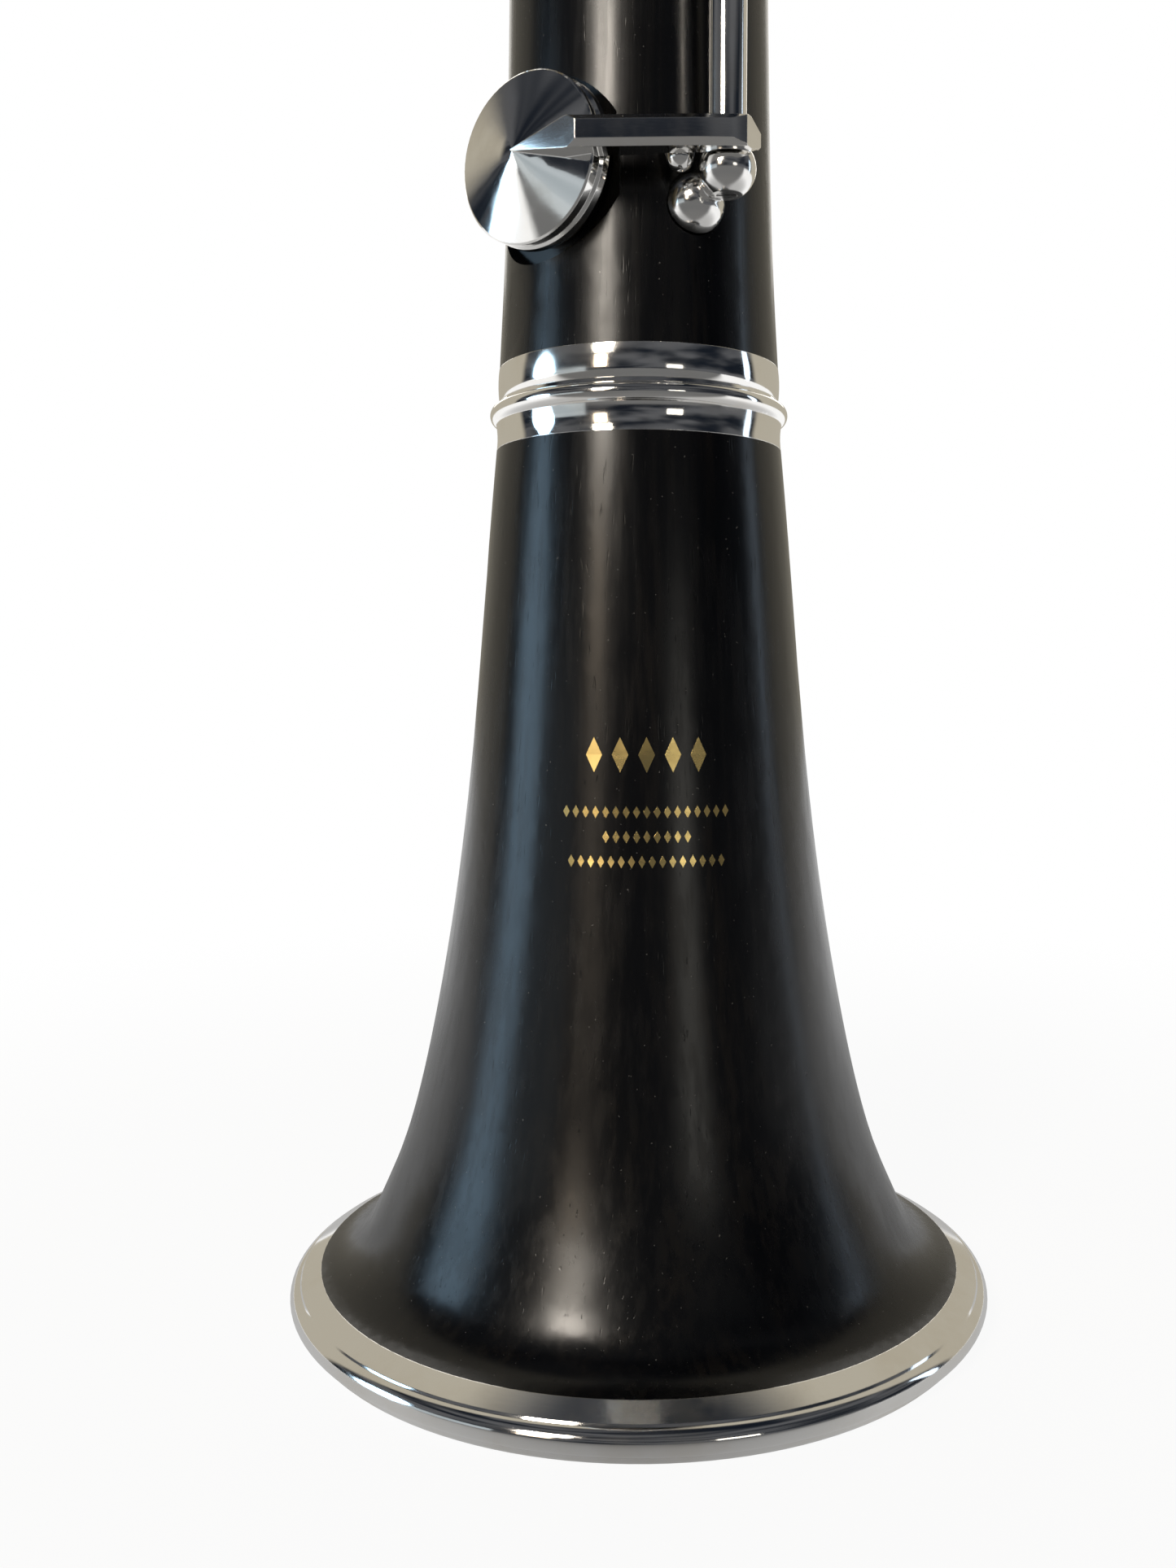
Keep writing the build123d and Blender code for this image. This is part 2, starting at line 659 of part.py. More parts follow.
def first_finger_ring():
    hole = ToneHole(left_first + 9.5, 46, 2.2, 4.3, **small_pad)
    low, high = ring_post, ring_top
    upper_cuts.append(hole.cut())
    pieces = [
        tube(ring_hinge, low + post_gap, high - post_gap), hole.cup_solid(),
        arc_bar(ring_hinge, hole.phi, hole.top - 0.4, hole.z, width=small_arm_width),
        finger_ring(left_first, 0), ring_arm(left_first, 0, ring_hinge),
    ]
    key = drill(fused(pieces), ring_hinge, low, high)
    needle_spring(ring_hinge, high, -1, hinge_height)
    store_ring_key("first_finger_ring_key", key, hole)


def thumb_ring():
    hole = ToneHole(thumb - 18.0, 178, 2.4, 4.4, **small_pad)
    phi, open_angle = 140, 6.0
    low, high = hole.z - 5.5, thumb + 8.0
    upper_cuts.append(hole.cut())
    pieces = [
        tube(phi, low + post_gap, high - post_gap), hole.cup_solid(),
        arc_bar(phi, hole.phi, hole.top - 0.4, hole.z, width=small_arm_width),
        finger_ring(thumb, 180), ring_arm(thumb, 180, phi),
    ]
    key = drill(fused(pieces), phi, low, high)
    long_hinge(phi, (low, high))
    needle_spring(phi, high, -1, hinge_height)
    store_key("thumb_ring_key", key, hole.pad(), upright_axis(phi), -open_angle, (0.0, open_angle))


# The two cross keys, pressed by the side of a ring finger.

def sliver_key(name, z):
    hole = ToneHole(z, 57, 2.4, 4.3, **small_pad)
    phi, open_angle = 36, 11.0
    half = 8.6
    low, high = z - half, z + half
    (lower_cuts if z < seam_middle else upper_cuts).append(hole.cut())
    pieces = [
        tube(phi, low + post_gap, high - post_gap), hole.cup_solid(),
        arc_bar(phi, hole.phi, hole.top - 0.4, z, width=small_arm_width),
        arc_bar(phi, 8, hinge_height + 0.4, z, thickness=touch_thickness, width=5.4),
    ]
    key = drill(fused(pieces), phi, low, high)
    long_hinge(phi, (low, high))
    store_key(name, key, hole.pad(), upright_axis(phi), 0.0, (-open_angle, 0.0))


# The four side keys.

def side_keys():
    first_hinge, step_phi = -84, -14
    starts = (55.0, 39.5, 24.0, 8.5)
    cups = (151.0, 129.0, 73.0, 49.0)
    names = ("upper_trill_key", "lower_trill_key", "side_f_sharp_key", "side_e_flat_key")
    open_angle = 12.0
    for number, (start, cup, name) in enumerate(zip(starts, cups, names)):
        phi = first_hinge + number * step_phi
        hole = ToneHole(seam_middle + cup, phi - 23, 2.6, 4.6, **small_pad)
        upper_cuts.append(hole.cut())
        low = seam_middle + start - 4.0
        high = hole.z + 5.2
        touch_z = low + 7.0
        rho = 19.3
        pieces = [
            tube(phi, low + post_gap, high - post_gap, radius=1.45), hole.cup_solid(),
            arc_bar(phi, hole.phi, hole.top - 0.4, hole.z, width=small_arm_width),
            arc_bar(phi, phi + 14, rho - 0.6, touch_z, thickness=1.6),
            outward(phi, touch_z, hinge_height, rho + 0.6, 1.4),
            plate(phi + 19, touch_z, rho, 10.0, 6.6),
        ]
        key = drill(fused(pieces), phi, low, high)
        long_hinge(phi, (low, high))
        needle_spring(phi, high, -1, hinge_height)
        store_key(name, key, hole.pad(), upright_axis(phi), 0.0, (0.0, open_angle))


# See-saw keys: pressed at one end, they lift their pad at the other.

def see_saw(name, hole, hinge_z, touch_z, touch_length, touch_width, travel, touch_rho=18.9):
    phi, height, half = hole.phi, lever_height, 4.3
    crown = hole.top + 0.7
    lever = Polyline(
        (hole.z + 1.5, crown - 0.4), (hole.z, crown), (hinge_z, height + sleeve_radius),
        (touch_z + 1.0, touch_rho + 0.8), (touch_z - 2.0, touch_rho + 0.2), (touch_z, touch_rho - 0.4),
        (hinge_z - 3.0, height - 0.3), (hinge_z, height - sleeve_radius), (hinge_z + 3.0, height - 0.6),
        (hole.z, crown - 1.3), close=True,
    )
    bar = facing(phi, 0, 0) * extrude(make_face(Plane.YZ * lever), 1.35, both=True)
    touch = plate(phi, touch_z, touch_rho, touch_length, touch_width)
    key = cross_sleeve(fused([bar, hole.cup_solid(), touch]), phi, height, hinge_z, half)
    cross_hinge(phi, hinge_z, height, half)
    store_key(name, key, hole.pad(), cross_axis(phi, height, hinge_z), 0.0, (0.0, travel))


def see_saw_keys():
    throat_a = ToneHole(seam_middle + 150.0, 0, 3.0, 5.0, **small_pad)
    throat_g = ToneHole(seam_middle + 137.0, 50, 2.6, 4.6, **small_pad)
    c_sharp = ToneHole(seam_middle + 36.5, 84, 3.2, 5.2, **small_pad)
    for hole in (throat_a, throat_g, c_sharp):
        upper_cuts.append(hole.cut())
    see_saw("throat_a_key", throat_a, seam_middle + 127.0, seam_middle + 109.0, 13.0, 6.4, 5.0)
    see_saw("throat_g_sharp_key", throat_g, seam_middle + 122.0, seam_middle + 109.0, 12.0, 5.8, 6.0)
    see_saw("c_sharp_key", c_sharp, seam_middle + 24.0, seam_middle + 9.0, 12.0, 8.0, 6.0, touch_rho=19.2)


register_tube_radius = 2.6
register_tube_bore = 1.6
register_z = seam_middle + 163.0


def register_key():
    """The thumb's octave key, on the back, over a metal tube that stands in the bore."""
    top = upper_radius + 1.2
    bottom = bore_radius - 1.0
    vent = outward(180, register_z, bottom, top, register_tube_radius)
    vent -= outward(180, register_z, bottom - 1, top + 1, register_tube_bore)
    keep("register_tube", vent)
    upper_cuts.append(outward(180, register_z, bore_radius * 0.5, upper_radius + 3, register_tube_radius))
    hole = ToneHole(register_z, 180, register_tube_bore, 3.9, **small_pad)
    hole.seat = top
    hole.top = top + pad_gap + pad_proud + hole.side + hole.cone
    see_saw("register_key", hole, seam_middle + 141.0, seam_middle + 116.0, 14.0, 7.2, 4.5, touch_rho=19.6)


# The wood and its rings.

def socket(low, high, radius):
    return Pos(0, 0, low) * Cylinder(radius, high - low, align=BASE)


def bell():
    rim_top = 36.57
    rim_seat, rim_seat_z = 35.6, 1.2
    outer = [(rim_top, rim_height), (31.9, 8.0), (29.75, 12.0), (27.6, 17.0), (25.42, 24.0), (23.4, 33.0),
             (21.27, 45.0), (19.29, 60.0), (17.62, 78.0), (bell_top_radius, seam_bell - socket_ring_height)]
    inner = [(32.6, rim_seat_z), (27.0, 6.0), (21.5, 16.0), (17.2, 32.0), (14.2, 52.0), (12.3, 70.0),
             (bore_foot_radius, seam_bell - bell_tenon_length - tenon_gap)]
    socket_radius = bell_tenon_radius + socket_clearance
    neck = socket_radius + ring_wall
    body = turned(
        Spline(*outer),
        Polyline(outer[-1], (neck, outer[-1][1]), (neck, seam_bell), (socket_radius, seam_bell),
                 (socket_radius, inner[-1][1]), inner[-1]),
        Spline(*inner),
        Polyline(inner[0], (rim_seat, rim_seat_z), (rim_seat, rim_height), outer[0]),
    )
    keep("bell", body)

    low = seam_bell - socket_ring_height
    crease = low + 2.9
    groove = seam_bell - 0.45
    ring = turned(
        Polyline((neck, seam_bell), (neck, low), (bell_top_radius, low)),
        ThreePointArc((bell_top_radius, low), (bell_top_radius - 0.12, low + 1.5), (bell_top_radius, crease)),
        ThreePointArc((bell_top_radius, crease), (16.68, crease + 1.05), (15.72, groove)),
        Polyline((15.72, groove), (15.5, seam_bell), (neck, seam_bell)),
    )
    keep("bell_socket_ring", ring)

    rim = turned(
        Polyline((rim_seat, rim_height), (rim_top, rim_height), (38.75, 3.95), (38.9, 3.72)),
        ThreePointArc((38.9, 3.72), (rim_radius, 2.35), (39.1, 0.95)),
        Polyline((39.1, 0.95), (38.75, 0.75), (38.75, 0.35), (foot_radius, 0), (33.4, 0), inner[0],
                 (rim_seat, rim_seat_z), (rim_seat, rim_height)),
    )
    keep("bell_rim_ring", rim)


def cork_on(low, high, tenon, name="tenon_corks"):
    """A cork sleeve let into a tenon; returns what the tenon loses to it."""
    groove = tenon - cork_depth
    sleeve = Cylinder(tenon + socket_clearance - cork_clearance, high - low, align=BASE)
    sleeve -= Cylinder(groove, high - low, align=BASE)
    keep(name, Pos(0, 0, low) * sleeve)
    ring = Cylinder(tenon + 1, high - low, align=BASE) - Cylinder(groove, high - low, align=BASE)
    return Pos(0, 0, low) * ring


def chimneys(holes):
    """The raised rims that the fingers feel, one at each open hole."""
    rims = []
    for z, phi, radius in holes:
        top = wood_radius(z) + chimney_height
        rims.append(outward(phi, z, upper_radius - 3, top, chimney_radius))
    return rims


def finish_wood(body, holes, cuts):
    for rim in chimneys(holes):
        body += rim
    for z, phi, radius in holes:
        cuts.append(outward(phi, z, bore_radius * 0.5, 30, radius))
    for cut in cuts:
        body -= cut
    return body


def lower_joint():
    tenon_low = seam_bell - bell_tenon_length
    end_seat = 14.45
    top_socket = tenon_radius + socket_clearance
    socket_floor = seam_middle - tenon_length - tenon_gap
    ring_seat = top_socket + ring_wall + 1.1
    shoulder = seam_middle - middle_ring_height
    end = seam_bell + end_ring_height
    body = turned(
        Polyline((bore_foot_radius, tenon_low), (bell_tenon_radius, tenon_low),
                 (bell_tenon_radius, seam_bell), (end_seat, seam_bell), (end_seat, end), lower_foot_flare[0]),
        *flares(lower_foot_flare, lower_top_flare),
        Polyline(lower_top_flare[-1], (ring_seat, shoulder), (ring_seat, seam_middle),
                 (top_socket, seam_middle), (top_socket, socket_floor), (bore_radius, socket_floor),
                 (bore_radius, seam_bell + 96.0), (8.2, seam_bell + 50.0), (bore_foot_radius, tenon_low)),
    )
    body -= cork_on(tenon_low + cork_margin, seam_bell - cork_margin, bell_tenon_radius)
    body = finish_wood(body, finger_holes[:3], lower_cuts)
    keep("lower_joint", body)
    keep("lower_joint_end_ring", turned(
        Polyline((end_seat, end), (end_seat, seam_bell), (15.5, seam_bell), (15.68, seam_bell + 0.4)),
        ThreePointArc((15.68, seam_bell + 0.4), (15.74, seam_bell + 1.9), (15.62, end)),
        Polyline((15.62, end), (end_seat, end)),
    ))
    r = middle_ring_radius
    keep("lower_joint_socket_ring", turned(
        Polyline((ring_seat, seam_middle), (ring_seat, shoulder), (r - 0.6, shoulder),
                 (r - 0.55, shoulder + 3.0)),
        ThreePointArc((r - 0.55, shoulder + 3.0), (r, seam_middle - 1.8), (r - 0.5, seam_middle - 0.3)),
        Polyline((r - 0.5, seam_middle - 0.3), (r - 0.8, seam_middle), (ring_seat, seam_middle)),
    ))


def upper_joint():
    low = seam_middle - tenon_length
    high = seam_barrel + tenon_length
    body = turned(
        Polyline((bore_radius, low), (tenon_radius, low), (tenon_radius, seam_middle), upper_foot_flare[0]),
        *flares(upper_foot_flare, upper_top_flare),
        Polyline(upper_top_flare[-1], (tenon_radius, seam_barrel), (tenon_radius, high),
                 (bore_radius, high), (bore_radius, low)),
    )
    body -= cork_on(low + cork_margin, seam_middle - cork_margin, tenon_radius)
    body -= cork_on(seam_barrel + cork_margin, high - cork_margin, tenon_radius)
    keep("upper_joint", finish_wood(body, finger_holes[3:], upper_cuts))


def barrel():
    low_ring, high_ring = 5.5, 5.0
    wide = tenon_radius + socket_clearance
    narrow = mouthpiece_tenon_radius + socket_clearance
    low_seat, high_seat = wide + ring_wall + 1.0, narrow + ring_wall + 1.6
    shoulder_low, shoulder_high = seam_barrel + low_ring, seam_mouthpiece - high_ring
    middle = (shoulder_low + shoulder_high) / 2
    low_floor = seam_barrel + tenon_length + tenon_gap
    high_floor = seam_mouthpiece - tenon_length - tenon_gap
    bore = bore_radius + 0.1
    outer = [(15.9, shoulder_low), (16.5, middle - 6.0), (15.9, middle + 14.0), (15.3, shoulder_high)]
    body = turned(
        Polyline((wide, seam_barrel), (low_seat, seam_barrel), (low_seat, shoulder_low), outer[0]),
        Spline(*outer),
        Polyline(outer[-1], (high_seat, shoulder_high), (high_seat, seam_mouthpiece),
                 (narrow, seam_mouthpiece), (narrow, high_floor), (bore, high_floor), (bore, low_floor),
                 (wide, low_floor), (wide, seam_barrel)),
    )
    keep("barrel", body)
    for seat, radius, low, high in ((low_seat, 16.7, seam_barrel, shoulder_low),
                                    (high_seat, 16.1, shoulder_high, seam_mouthpiece)):
        keep("barrel_rings", turned(
            Polyline((seat, high), (seat, low), (radius - 0.3, low), (radius, low + 0.4)),
            ThreePointArc((radius, low + 0.4), (radius - 0.25, (low + high) / 2), (radius, high - 0.4)),
            Polyline((radius, high - 0.4), (radius - 0.3, high), (seat, high)),
        ))


# Mouthpiece, reed and ligature.

mouthpiece_radius = 12.5
table_depth = 7.6                # from the bore's axis to the flat that the reed lies on
reed_width = 13.0
reed_length = 64.0
reed_tip_gap = 0.4
ligature_wall = 0.7
ligature_low = seam_mouthpiece + 10.0
ligature_height = 24.0
tip_width = 13.6
tip_thickness = 1.2
window_width = 9.2
wide_cut = 30.0                  # how far the shaping cuts reach out, past all of the wood
reed_heel = tip - reed_length


def profile_prism(points, half_width):
    """An outline drawn as (y, z), given a width across the instrument."""
    return extrude(make_face(Plane.YZ * Polyline(*points, close=True)), half_width, both=True)


def mouthpiece():
    low = seam_mouthpiece - tenon_length
    bore_top = seam_mouthpiece + 24.0
    beak = seam_mouthpiece + 38.0
    shank = seam_mouthpiece + 6.0
    collar = [(14.0, seam_mouthpiece + 2.6), (13.1, seam_mouthpiece + 3.9), (mouthpiece_radius, shank)]
    body = turned(
        Polyline((bore_radius, low), (mouthpiece_tenon_radius, low),
                 (mouthpiece_tenon_radius, seam_mouthpiece), (13.9, seam_mouthpiece),
                 (14.1, seam_mouthpiece + 0.8), collar[0]),
        Spline(*collar),
        Polyline(collar[-1], (mouthpiece_radius, beak), (mouthpiece_radius - 0.5, tip), (0, tip),
                 (0, bore_top), (bore_radius, bore_top), (bore_radius, low)),
    )
    front = table_depth - tip_thickness
    beyond = tip + 5
    slope = beak - 2
    body -= profile_prism(
        [(-mouthpiece_radius, slope), (-wide_cut, slope), (-wide_cut, beyond), (front, beyond), (front, tip)],
        mouthpiece_radius + 5,
    )
    table_low = reed_heel - 0.8
    body -= profile_prism(
        [(table_depth, table_low), (wide_cut, table_low), (wide_cut, beyond), (table_depth, beyond)],
        mouthpiece_radius + 5,
    )
    body -= profile_prism(
        [(-6.0, seam_mouthpiece + 20.0), (table_depth + 1, seam_mouthpiece + 27.0),
         (table_depth + 1, tip - 4.0), (front - 0.2, tip - 3.0)],
        window_width / 2,
    )
    for side in (-1, 1):
        wedge = Polyline(
            (side * mouthpiece_radius, beak - 6), (side * tip_width / 2, tip), (side * tip_width / 2, beyond),
            (side * wide_cut, beyond), (side * wide_cut, beak - 6), close=True,
        )
        body -= extrude(make_face(Plane.XZ * wedge), wide_cut, both=True)
    body -= cork_on(low + cork_margin, seam_mouthpiece - cork_margin, mouthpiece_tenon_radius)
    keep("mouthpiece", body)


def reed():
    """Cane with a rounded back, scraped from the middle down to a thin tip."""
    face = table_depth + 0.02
    reed_tip = tip - reed_tip_gap
    scrape = tip - 34.0
    solid = Pos(0, 0, reed_heel) * Cylinder(mouthpiece_radius - 0.05, reed_length, align=BASE)
    solid &= profile_prism(
        [(face, reed_heel), (wide_cut, reed_heel), (wide_cut, scrape), (face + 3.6, scrape + 2.0),
         (face + 0.3, reed_tip), (face, reed_tip)],
        reed_width / 2,
    )
    keep("reed", solid)


def ligature():
    inner = mouthpiece_radius + 0.05
    outer = inner + ligature_wall
    gap, rail_height = 2.0, 1.4
    ear_width, ear_reach, ear_height = 2.0, 4.2, 5.0
    screw_radius, head_radius, head_length = 1.1, 2.4, 1.6
    slit = Pos(0, inner + 3, 0) * Box(gap, 12, 3 * ligature_height)
    band = Cylinder(outer, ligature_height, align=BASE) - Cylinder(inner, ligature_height, align=BASE)
    rail = Cylinder(outer + 0.3, rail_height, align=BASE) - Cylinder(outer - 0.1, rail_height, align=BASE)
    band -= slit
    rail -= slit
    for edge in (0.0, ligature_height - rail_height):
        band += Pos(0, 0, edge) * rail
    ear = Box(ear_width, ear_reach, ear_height, align=(Align.CENTER, Align.MIN, Align.CENTER))
    screw_rho = outer + ear_reach / 2
    ear_side = gap / 2 + ear_width
    for z in (4.8, ligature_height - 4.8):
        for side in (-1, 1):
            band += Pos(side * (gap + ear_width) / 2, outer - 0.4, z) * ear
        band -= Pos(0, screw_rho, z) * Rot(0, 90, 0) * Cylinder(screw_radius + 0.04, 20)
        shaft = Pos(-ear_side - 0.6, 0, 0) * Rot(0, 90, 0) * Cylinder(screw_radius, 9.2, align=BASE)
        head = Pos(ear_side + 0.75, 0, 0) * Rot(0, 90, 0) * Cylinder(head_radius, head_length, align=BASE)
        wing = Pos(ear_side + 6.0, 0, 0) * extrude(Ellipse(4.6, 2.7), 0.55, both=True)
        keep("ligature_screws", Pos(0, screw_rho, ligature_low + z) * (shaft + head + wing))
    keep("ligature_band", Pos(0, 0, ligature_low) * band)


# The thumb rest.

rest_z = seam_middle - 79.0
rest_width = 8.4
rest_length = 17.0
rest_thickness = 1.5
rest_base_radius = lower_radius + 0.02
strap_hole_radius = 2.3
strap_ring_radius = 4.1
strap_ring_width = 2.0
wood_screw_radius = 1.1
wood_screw_head = 1.8
wood_screw_depth = 4.5


def thumb_hook():
    """The hook that the right thumb carries, with the ring for a neck strap above it."""
    base = rest_base_radius
    hook = profile_prism([
        (base + 0.8, rest_z + 0.9), (base + 12.0, rest_z + 0.2), (base + 16.0, rest_z - 3.2),
        (base + 17.3, rest_z - 2.3), (base + 12.8, rest_z + 2.0), (base + 0.8, rest_z + 2.8),
    ], rest_width / 2)
    eye = Pos(0, base + 5.0, rest_z + 2.0 + strap_ring_radius) * Rot(0, 90, 0)
    hook += eye * Cylinder(strap_ring_radius, strap_ring_width)
    return hook - eye * Cylinder(strap_hole_radius, rest_width + 3)


def thumb_rest():
    """A curved plate on the back, held by two wood screws, that carries the hook."""
    middle = rest_z - 1.0
    rest = arc_bar(166, 194, rest_base_radius, middle, thickness=rest_thickness, width=rest_length)
    rest &= Pos(0, rest_base_radius + 5, middle) * Box(rest_width, 12, rest_length)
    rest += thumb_hook()
    head_low = rest_base_radius + 1.0
    head_high = head_low + 0.8
    stud_end = lower_radius - wood_screw_depth
    for z in (rest_z - 6.8, rest_z + 4.8):
        rest -= outward(180, z, lower_radius - 1, lower_radius + 4, wood_screw_radius + 0.05)
        rest -= outward(180, z, head_low, lower_radius + 4, wood_screw_head + 0.1)
        screw = outward(180, z, stud_end, head_low, wood_screw_radius)
        screw += outward(180, z, head_low, head_high, wood_screw_head)
        screw -= facing(180, head_high, z) * Box(5, 0.4, 0.7)
        keep("thumb_rest_screws", screw)
        lower_cuts.append(outward(180, z, stud_end, lower_radius + 2, wood_screw_radius))
    keep("thumb_rest", rest)


def build():
    low_e_key()
    low_f_key()
    low_f_sharp_key()
    low_a_flat_key()
    little_finger_lever("left_f_sharp_lever", 83, seam_middle - 55.0, high_cluster + 1.0,
                        low_f_sharp_tail_rho - 2.7, seam_middle - 17.5, 3.1)
    little_finger_lever("left_e_lever", 114, seam_middle - 71.0, low_cluster + 3.5,
                        low_e_tail_rho, seam_middle - 20.5, 3.4)
    right_hand_rings()
    second_finger_ring()
    first_finger_ring()
    thumb_ring()
    sliver_key("right_cross_key", seam_middle - 66.0)
    sliver_key("left_cross_key", seam_middle + 49.0)
    side_keys()
    see_saw_keys()
    register_key()
    thumb_rest()
    bell()
    lower_joint()
    upper_joint()
    barrel()
    mouthpiece()
    reed()
    ligature()


def write():
    for name, solids in nodes.items():
        flat = []
        for solid in solids:
            flat.extend(solid.solids())
        export_step(Compound(flat), f"parts/{name}.step")
        print(f"{name}: {len(flat)} solid(s)")
    for name, joint in joints.items():
        print(name, "turns about", joint["at"], joint["along"], "by", joint["range"])


build()
write()
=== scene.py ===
import json
import math
import bmesh
import bpy
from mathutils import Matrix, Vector
from mathutils.bvhtree import BVHTree

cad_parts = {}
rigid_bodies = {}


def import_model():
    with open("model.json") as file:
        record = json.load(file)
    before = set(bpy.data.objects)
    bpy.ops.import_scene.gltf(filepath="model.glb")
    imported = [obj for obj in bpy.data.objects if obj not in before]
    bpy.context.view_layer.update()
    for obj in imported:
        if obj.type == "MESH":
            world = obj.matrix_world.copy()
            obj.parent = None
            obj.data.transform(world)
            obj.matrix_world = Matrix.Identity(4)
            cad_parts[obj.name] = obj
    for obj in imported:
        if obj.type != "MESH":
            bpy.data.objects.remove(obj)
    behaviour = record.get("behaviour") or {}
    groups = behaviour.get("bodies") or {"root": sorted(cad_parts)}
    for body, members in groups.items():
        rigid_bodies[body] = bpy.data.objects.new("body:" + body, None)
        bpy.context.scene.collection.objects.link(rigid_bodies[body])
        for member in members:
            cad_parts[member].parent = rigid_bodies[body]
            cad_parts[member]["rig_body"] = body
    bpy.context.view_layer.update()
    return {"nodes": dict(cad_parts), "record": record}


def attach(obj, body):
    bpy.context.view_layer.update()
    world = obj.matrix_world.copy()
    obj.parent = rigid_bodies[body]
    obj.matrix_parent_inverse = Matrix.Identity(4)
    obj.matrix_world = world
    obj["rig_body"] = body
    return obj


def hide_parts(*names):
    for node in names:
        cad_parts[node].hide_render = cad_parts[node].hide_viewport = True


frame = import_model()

nodes = frame["nodes"]
slotOf = {part["node"]: part["material_slot"] for part in frame["record"]["subparts"]}
print("frame loaded:", len(nodes), "parts")


# small helpers for node trees

def addNode(tree, kind, inputs=None, **settings):
    node = tree.nodes.new(kind)
    for name, value in settings.items():
        setattr(node, name, value)
    for name, value in (inputs or {}).items():
        if isinstance(value, bpy.types.NodeSocket):
            tree.links.new(value, node.inputs[name])
        else:
            node.inputs[name].default_value = value
    return node


def newGroup(name, inputs, outputs, kind="ShaderNodeTree"):
    group = bpy.data.node_groups.new(name, kind)
    for label, socket, value in inputs:
        made = group.interface.new_socket(label, in_out="INPUT", socket_type=socket)
        if value is not None:
            made.default_value = value
    for label, socket in outputs:
        group.interface.new_socket(label, in_out="OUTPUT", socket_type=socket)
    return group, addNode(group, "NodeGroupInput"), addNode(group, "NodeGroupOutput")


def useGroup(tree, group, inputs):
    return addNode(tree, tree.bl_idname.replace("NodeTree", "NodeGroup"), inputs, node_tree=group)


def newMaterial(name, **fixed):
    material = bpy.data.materials.new(name)
    material.use_nodes = True
    tree = material.node_tree
    tree.nodes.clear()
    shader = addNode(tree, "ShaderNodeBsdfPrincipled")
    for label, value in fixed.items():
        shader.inputs[label.replace("_", " ")].default_value = value
    output = addNode(tree, "ShaderNodeOutputMaterial")
    tree.links.new(shader.outputs["BSDF"], output.inputs["Surface"])
    place = addNode(tree, "ShaderNodeTexCoord").outputs["Object"]
    return material, tree, shader, place


def stretched(tree, place, scale):
    return addNode(tree, "ShaderNodeMapping", {"Vector": place, "Scale": scale}).outputs["Vector"]


def noise(tree, place, scale, detail=3.0, roughness=0.55):
    inputs = {"Vector": place, "Scale": scale, "Detail": detail, "Roughness": roughness}
    return addNode(tree, "ShaderNodeTexNoise", inputs).outputs["Fac"]


def remap(tree, value, low, high, toLow=0.0, toHigh=1.0):
    inputs = {"Value": value, "From Min": low, "From Max": high, "To Min": toLow, "To Max": toHigh}
    return addNode(tree, "ShaderNodeMapRange", inputs, interpolation_type="SMOOTHSTEP").outputs["Result"]


def mixColour(tree, factor, first, second):
    mix = addNode(tree, "ShaderNodeMix", data_type="RGBA")
    for socket, value in zip((mix.inputs[0], mix.inputs[6], mix.inputs[7]), (factor, first, second)):
        if isinstance(value, bpy.types.NodeSocket):
            tree.links.new(value, socket)
        else:
            socket.default_value = value
    return mix.outputs[2]


def maths(tree, operation, first, second=0.0):
    node = addNode(tree, "ShaderNodeMath", operation=operation)
    for socket, value in zip(node.inputs, (first, second)):
        if isinstance(value, bpy.types.NodeSocket):
            tree.links.new(value, socket)
        else:
            socket.default_value = value
    return node.outputs[0]


def bump(tree, shader, look, height, normal=None):
    # fine relief, on top of another normal where one is given
    inputs = {"Strength": look["bump"], "Distance": look["bumpDepth"], "Height": height}
    if normal is not None:
        inputs["Normal"] = normal
    relief = addNode(tree, "ShaderNodeBump", inputs)
    tree.links.new(relief.outputs["Normal"], shader.inputs["Normal"])


# effects that several finishes share

grain = {
    "fibres": 900.0, "fibreStretch": (1.0, 1.0, 0.035), "streakEdge": (0.35, 0.68), "streakLift": 0.35,
    "pores": 2600.0, "poreStretch": (1.0, 1.0, 0.09), "poreEdge": (0.66, 0.74),
}


def makeGrainGroup():
    # long fibres and short open pores that run up the bore
    group, inside, outside = newGroup(
        "fibreGrain",
        [("Place", "NodeSocketVector", None), ("Fibres", "NodeSocketFloat", grain["fibres"]),
         ("Pores", "NodeSocketFloat", grain["pores"])],
        [("Streak", "NodeSocketFloat"), ("Pore", "NodeSocketFloat"), ("Height", "NodeSocketFloat")])
    place = inside.outputs["Place"]
    along = stretched(group, place, grain["fibreStretch"])
    streak = noise(group, along, inside.outputs["Fibres"], detail=4.0, roughness=0.6)
    along = stretched(group, place, grain["poreStretch"])
    pore = noise(group, along, inside.outputs["Pores"], detail=2.0, roughness=0.5)
    poreMask = remap(group, pore, *grain["poreEdge"])
    height = maths(group, "SUBTRACT", maths(group, "MULTIPLY", streak, grain["streakLift"]), poreMask)
    streakMask = remap(group, streak, *grain["streakEdge"])
    for label, value in (("Streak", streakMask), ("Pore", poreMask), ("Height", height)):
        group.links.new(value, outside.inputs[label])
    return group


handling = {
    "smears": 90.0, "smearEdge": (0.42, 0.72), "lines": 5200.0, "lineStretch": (0.16, 0.16, 1.0),
    "specks": 3100.0, "speckEdge": (0.76, 0.82),
}


